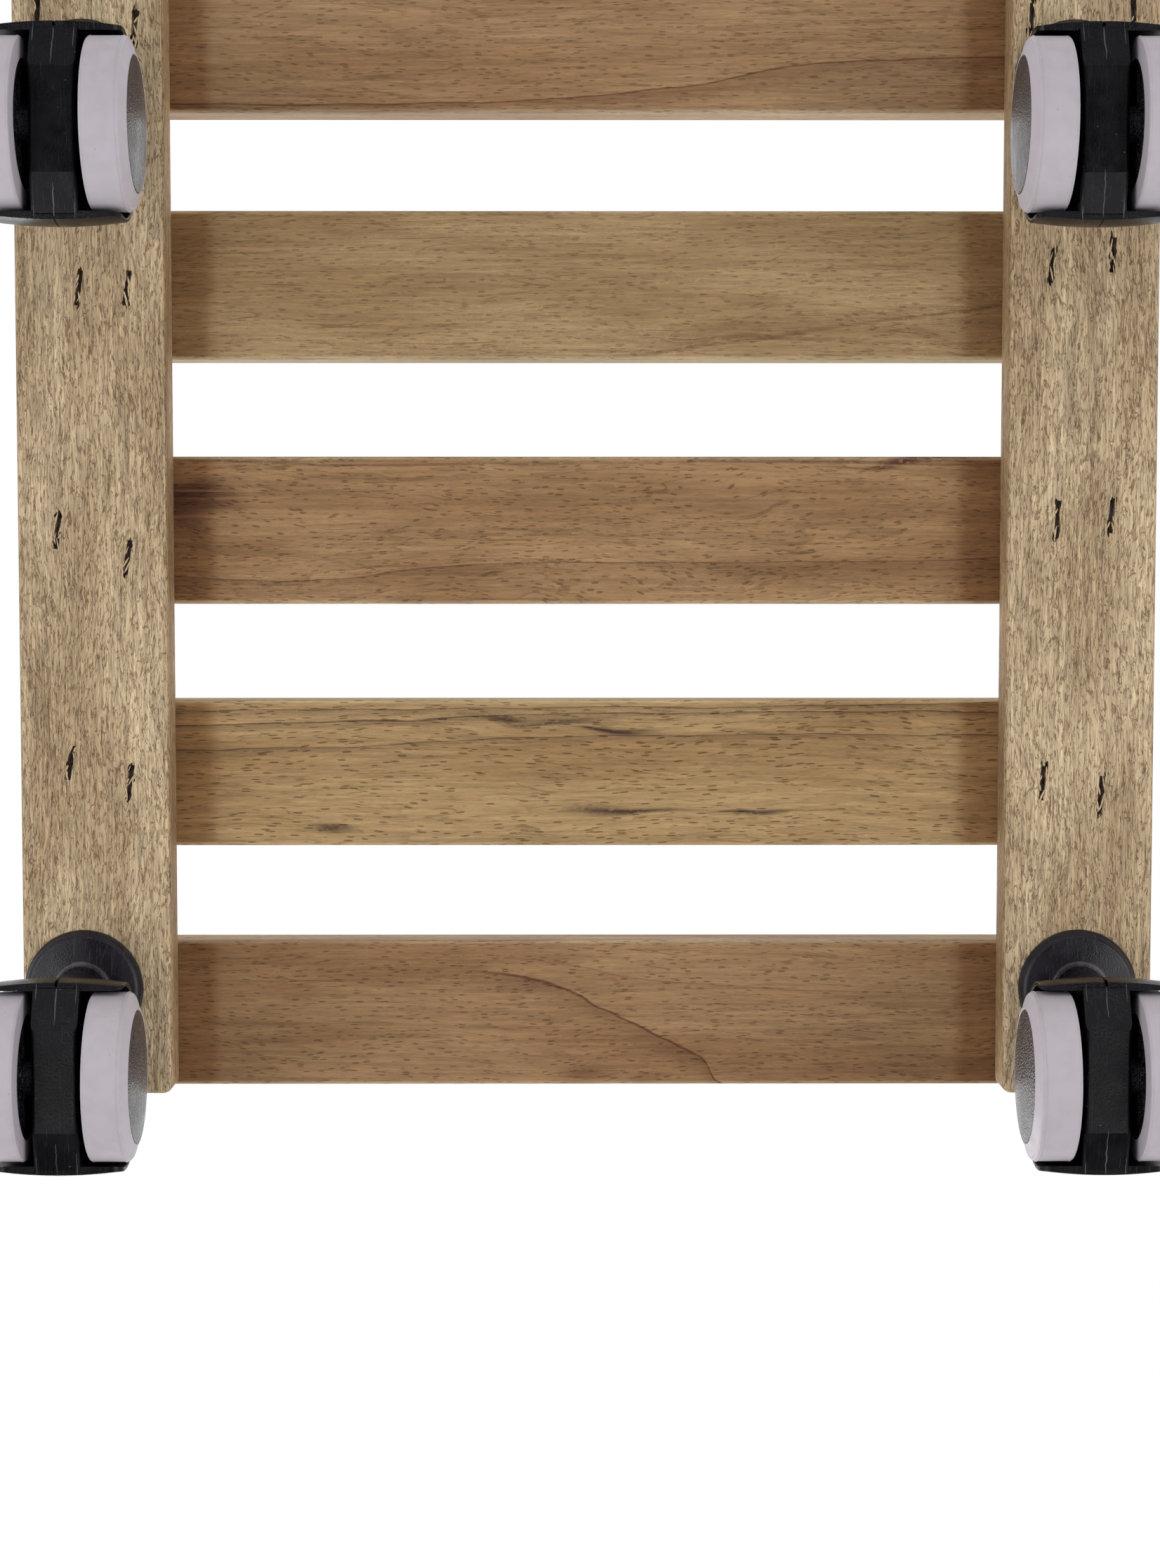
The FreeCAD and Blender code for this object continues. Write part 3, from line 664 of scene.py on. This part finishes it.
def tear_slits(bearer, seed):
    """The wood that each staple tore: dark strips of painted shade for the splits that run on from the slit,
    and pale fibres across it.
    """
    draw = random.Random(seed)
    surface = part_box(f"bearer_{bearer}")[0].z
    down = Vector((0, 0, -1))
    fibres = Strands(f"torn_fibres_{bearer}")
    split_shades = Strands(f"torn_split_shades_{bearer}")
    for middle, way, half in staple_crowns(f"staples_{bearer}"):
        side = way.cross(down)
        on_face = Vector((middle.x, middle.y, surface))
        # flat near-black strips on the face: painted shade standing for the inside of the splits
        for _ in range(SPLIT_SHADES_PER_STAPLE):
            end = draw.choice((-1, -1, 1, 1, 0))
            along = end * (half + draw.uniform(-1.8, 0.7) * MM) + draw.uniform(-0.6, 0.6) * MM
            across = draw.uniform(-0.8, 0.8) * MM
            length = draw.uniform(1.4, 3.4) * MM
            lean = draw.uniform(-0.25, 0.25)
            start = on_face + way * (along - length / 2) + side * across
            heading = (way + side * lean).normalized()
            bow = draw.uniform(-0.25, 0.25) * MM
            spine = [start + heading * (length * k / 6) + side * (bow * math.sin(k)) for k in range(7)]
            split_shades.add(spine, taper(7, draw.uniform(0.45, 1.15) * MM), down, 0.09 * MM)
        for _ in range(FIBRES_PER_STAPLE):
            along = draw.uniform(-1, 1) * (half + 1.0 * MM)
            edge = draw.choice((-1, 1))
            across = edge * draw.uniform(0.7, 1.15) * MM
            length = draw.uniform(1.5, 4.6) * MM
            lean = -edge * draw.uniform(0.02, 0.42)
            start = on_face + way * (along - length / 2) + side * across
            heading = (way * draw.choice((-1, 1)) + side * lean).normalized()
            lift = draw.uniform(0.1, 0.75) * MM
            spine = []
            for k in range(7):
                share = k / 6
                spine.append(start + heading * (length * share) + down * (0.06 * MM + lift * share * share))
            fibres.add(spine, taper(7, draw.uniform(0.22, 0.6) * MM), down, 0.14 * MM)
    split_shades.finish("deck", torn_shadow, "bearer_wood")
    fibres.finish("deck", torn_wood, "bearer_wood")


def fray_slat_ends(seed):
    """Fine whiskers that the saw left along the lower edges of the slats' ends."""
    draw = random.Random(seed)
    whiskers = Strands("sawn_whiskers")
    for slat in SLATS:
        low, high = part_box(slat)
        for y, out in ((low.y, -1), (high.y, 1)):
            for _ in range(WHISKERS_PER_END):
                x = draw.uniform(low.x + 2.5 * MM, high.x - 2.5 * MM)
                start = Vector((x, y - out * 0.3 * MM, low.z + draw.uniform(0.15, 1.2) * MM))
                length = draw.uniform(0.8, 2.6) * MM
                drop = Vector((draw.uniform(-0.7, 0.7), out * draw.uniform(0.15, 0.5), -1)).normalized()
                away = Vector((0, out * 0.05 * MM, 0))
                spine = [start + drop * (length * k / 5) + away * k for k in range(6)]
                widths = [draw.uniform(0.22, 0.4) * MM * (1 - 0.8 * k / 5) for k in range(6)]
                whiskers.add(spine, widths, Vector((0, out, 0)), 0.12 * MM)
    whiskers.finish("deck", torn_wood, "slat_wood")


FLASH_STEPS = 144
# (offset from the middle, length, width, wave) in mm of the threads on one end of a hood
RUNNER_THREADS = ((0, 13, 0.42, 0.16), (-5.9, 6, 0.3, 0.03), (5.9, 7.5, 0.3, 0.03))


def add_socket_flash(corner, seed):
    """The ragged ring of flash round the mouth of a socket."""
    low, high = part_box(f"socket_{corner}")
    middle = (low + high) / 2
    mouth = Vector((middle.x, middle.y, low.z))
    ragged = smooth_noise(seed, FLASH_STEPS, 1)
    lip = Strands(f"socket_flash_{corner}")
    rows = []
    for i, rough in enumerate(ragged):
        angle = 2 * math.pi * i / FLASH_STEPS
        out = Vector((math.cos(angle), math.sin(angle), 0))
        drop = 0.16 + 0.3 * max(0.0, rough - 0.25)
        section = ((7.55 + 0.1 * rough, 0.06), (7.75, -drop), (8.75, -0.1), (9.3, 0.55), (9.0, 0.7))
        rows.append([mouth + out * (r * MM) + Vector((0, 0, rise * MM)) for r, rise in section])
    lip.loop(rows)
    lip.finish("deck", flash_plastic, "socket_plastic")


def add_runner_threads(corner, seed):
    """The threads left on both ends of a hood where it was cut from its runner, draped over its surface."""
    draw = random.Random(seed)
    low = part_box(f"housing_{corner}")[0]
    axle_low, axle_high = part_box(f"axle_{corner}")
    axle = (axle_low + axle_high) / 2
    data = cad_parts[f"housing_{corner}"].data
    faces = [list(face.vertices) for face in data.polygons]
    surface = BVHTree.FromPolygons([v.co for v in data.vertices], faces)
    threads = Strands(f"runner_threads_{corner}")
    for end in (1, -1):
        tip = axle.x + end * (axle.x - low.x)
        for offset, reach, width, wave in RUNNER_THREADS:
            length = reach * draw.uniform(0.75, 1.2) * MM
            spine = []
            for k in range(13):
                x = tip - end * (0.4 * MM + length * k / 12)
                y = axle.y + (offset + draw.uniform(-wave, wave)) * MM
                hit = surface.ray_cast(Vector((x, y, -1 * MM)), Vector((0, 0, 1)))[0]
                if hit:
                    spine.append(hit + Vector((0, 0, -0.03 * MM)))
            if len(spine) > 3:
                threads.add(spine, taper(len(spine), width * MM, 0.35), Vector((0, 0, -1)), 0.26 * MM)
    threads.finish(f"caster_{corner}", flash_plastic, "housing_plastic")


TREAD_LINE_STEPS = 160
TREAD_LINES = ((1.05, 0.13), (10.75, 0.16))  # (how far from the tread's inner face, height) in mm
TREAD_LINE_HALF = 0.24  # mm to each side of its crest
TREAD_LINE_ROOT = -0.15  # mm, sunk into the tread


def add_tread_lines(corner):
    """The fine raised lines that the mould left round each tread, at both edges of its flat."""
    middle_y = sum(point.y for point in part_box(f"axle_{corner}")) / 2
    for place in ("outer", "inner"):
        low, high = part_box(f"tread_{place}_{corner}")
        axle = (low + high) / 2
        out = 1 if axle.y > middle_y else -1
        radius = (high.z - low.z) / 2
        inner_face = min(abs(low.y - middle_y), abs(high.y - middle_y))
        lines = Strands(f"tread_lines_{place}_{corner}")
        for inset, height in TREAD_LINES:
            middle = Vector((axle.x, middle_y + out * (inner_face + inset * MM), axle.z))
            section = ((-TREAD_LINE_HALF, TREAD_LINE_ROOT), (0.0, height), (TREAD_LINE_HALF, TREAD_LINE_ROOT))
            rows = []
            for i in range(TREAD_LINE_STEPS):
                angle = 2 * math.pi * i / TREAD_LINE_STEPS
                way = Vector((math.cos(angle), 0, math.sin(angle)))
                row = []
                for across, rise in section:
                    row.append(middle + Vector((0, across * MM, 0)) + way * (radius + rise * MM))
                rows.append(row)
            lines.loop(rows)
        lines.finish(f"wheel_{place}_{corner}", tread_rubber, "tread_rubber")


torn_wood = plain_fibre("torn_wood", srgb(216, 194, 158), srgb(160, 128, 92))
# torn_shadow: near-black, the painted shade inside the splits
torn_shadow = plain_fibre("torn_shadow", srgb(30, 20, 14), srgb(54, 38, 26))
flash_plastic = plastic("flash_plastic", srgb(44, 41, 46), srgb(92, 88, 92), 0.3, 0.4, 0.02)
tear_slits("front", 11)
tear_slits("rear", 23)
fray_slat_ends(31)
for mould_seed, corner_name in enumerate(CORNERS, start=41):
    add_socket_flash(corner_name, mould_seed)
    add_runner_threads(corner_name, mould_seed)
    add_tread_lines(corner_name)


# ---------------------------------------------------------------- floor, light and camera


def make_floor():
    """A plain pale floor. It shows from above only, and leaves the light on the caddy's underside alone."""
    mesh = bpy.data.meshes.new("floor")
    reach = 60 * deck_size
    corners = [(-reach, -reach, 0), (reach, -reach, 0), (reach, reach, 0), (-reach, reach, 0)]
    mesh.from_pydata(corners, [], [(0, 1, 2, 3)])
    floor = bpy.data.objects.new("floor", mesh)
    bpy.context.scene.collection.objects.link(floor)
    s = Shade("floor_paint")
    s.finish(srgb(236, 235, 233), 0.9, Specular_IOR_Level=0.1)
    clear = s.add("ShaderNodeBsdfTransparent", {}).outputs[0]
    under = s.tree.nodes.new("ShaderNodeNewGeometry").outputs["Backfacing"]
    sides = s.add("ShaderNodeMixShader", {0: under, 1: s.shader.outputs[0], 2: clear})
    output = s.tree.nodes["Material Output"]
    s.tree.links.new(sides.outputs[0], output.inputs["Surface"])
    mesh.materials.append(s.material)
    floor.visible_diffuse = False
    floor.visible_glossy = False
    floor.visible_shadow = False


def make_world(above, below):
    """White studio all round above the floor, and a dimmer one below it."""
    world = bpy.data.worlds.new("studio")
    world.use_nodes = True
    tree = world.node_tree
    place = tree.nodes.new("ShaderNodeTexCoord")
    axes = tree.nodes.new("ShaderNodeSeparateXYZ")
    rise = tree.nodes.new("ShaderNodeMapRange")
    rise.interpolation_type = "SMOOTHSTEP"
    for key, value in {"From Min": -0.75, "From Max": -0.05, "To Min": below, "To Max": above}.items():
        rise.inputs[key].default_value = value
    tree.links.new(place.outputs["Generated"], axes.inputs[0])
    tree.links.new(axes.outputs[2], rise.inputs["Value"])
    tree.nodes["Background"].inputs["Color"].default_value = (1.0, 1.0, 1.0, 1.0)
    tree.links.new(rise.outputs[0], tree.nodes["Background"].inputs["Strength"])
    bpy.context.scene.world = world


def add_light(name, way, distance, size, power):
    """A square soft box, in this direction from the middle of the caddy, turned towards it."""
    data = bpy.data.lights.new(name, "AREA")
    data.size = size
    data.energy = power
    light = bpy.data.objects.new(name, data)
    bpy.context.scene.collection.objects.link(light)
    towards = Vector(way).normalized()
    light.location = centre + towards * distance
    light.rotation_euler = towards.to_track_quat("Z", "Y").to_euler()


CAMERA_STAND = Vector((-0.0156, -0.0055, -0.8467))
CAMERA_TARGET = Vector((-0.0784, -0.0023, 0.0700))
CAMERA_LENS = 68.27


def make_camera():
    """Below the caddy, looking up at it a little off square, with +X up in the picture."""
    data = bpy.data.cameras.new("camera")
    data.lens = CAMERA_LENS
    data.sensor_width = 36
    data.clip_start = 0.05
    data.clip_end = 20
    camera = bpy.data.objects.new("camera", data)
    bpy.context.scene.collection.objects.link(camera)
    back = (CAMERA_STAND - CAMERA_TARGET).normalized()
    right = Vector((1.0, 0.0, 0.0)).cross(back).normalized()
    up = back.cross(right)
    turned = Matrix((right, up, back)).transposed().to_4x4()
    camera.matrix_world = Matrix.Translation(CAMERA_STAND) @ turned
    bpy.context.scene.camera = camera


make_floor()
make_world(above=1.0, below=0.14)
for side_name, side_y in (("left", -1), ("right", 1)):
    add_light(f"{side_name}_box", (-0.1, 0.95 * side_y, -1.0), distance=1.5, size=0.9, power=8.6)
for side_name, side_y in (("left", -1), ("right", 1)):
    add_light(f"rear_card_{side_name}", (0.55, 0.25 * side_y, -0.83), distance=1.5, size=0.4, power=1.1)
    add_light(f"front_card_{side_name}", (-0.38, 0.25 * side_y, -0.93), distance=1.5, size=0.4, power=1.1)
add_light("front_box", (-1.0, -0.8, 1.1), distance=1.6, size=0.8, power=8)
make_camera()
bpy.context.scene.view_settings.view_transform = "Standard"
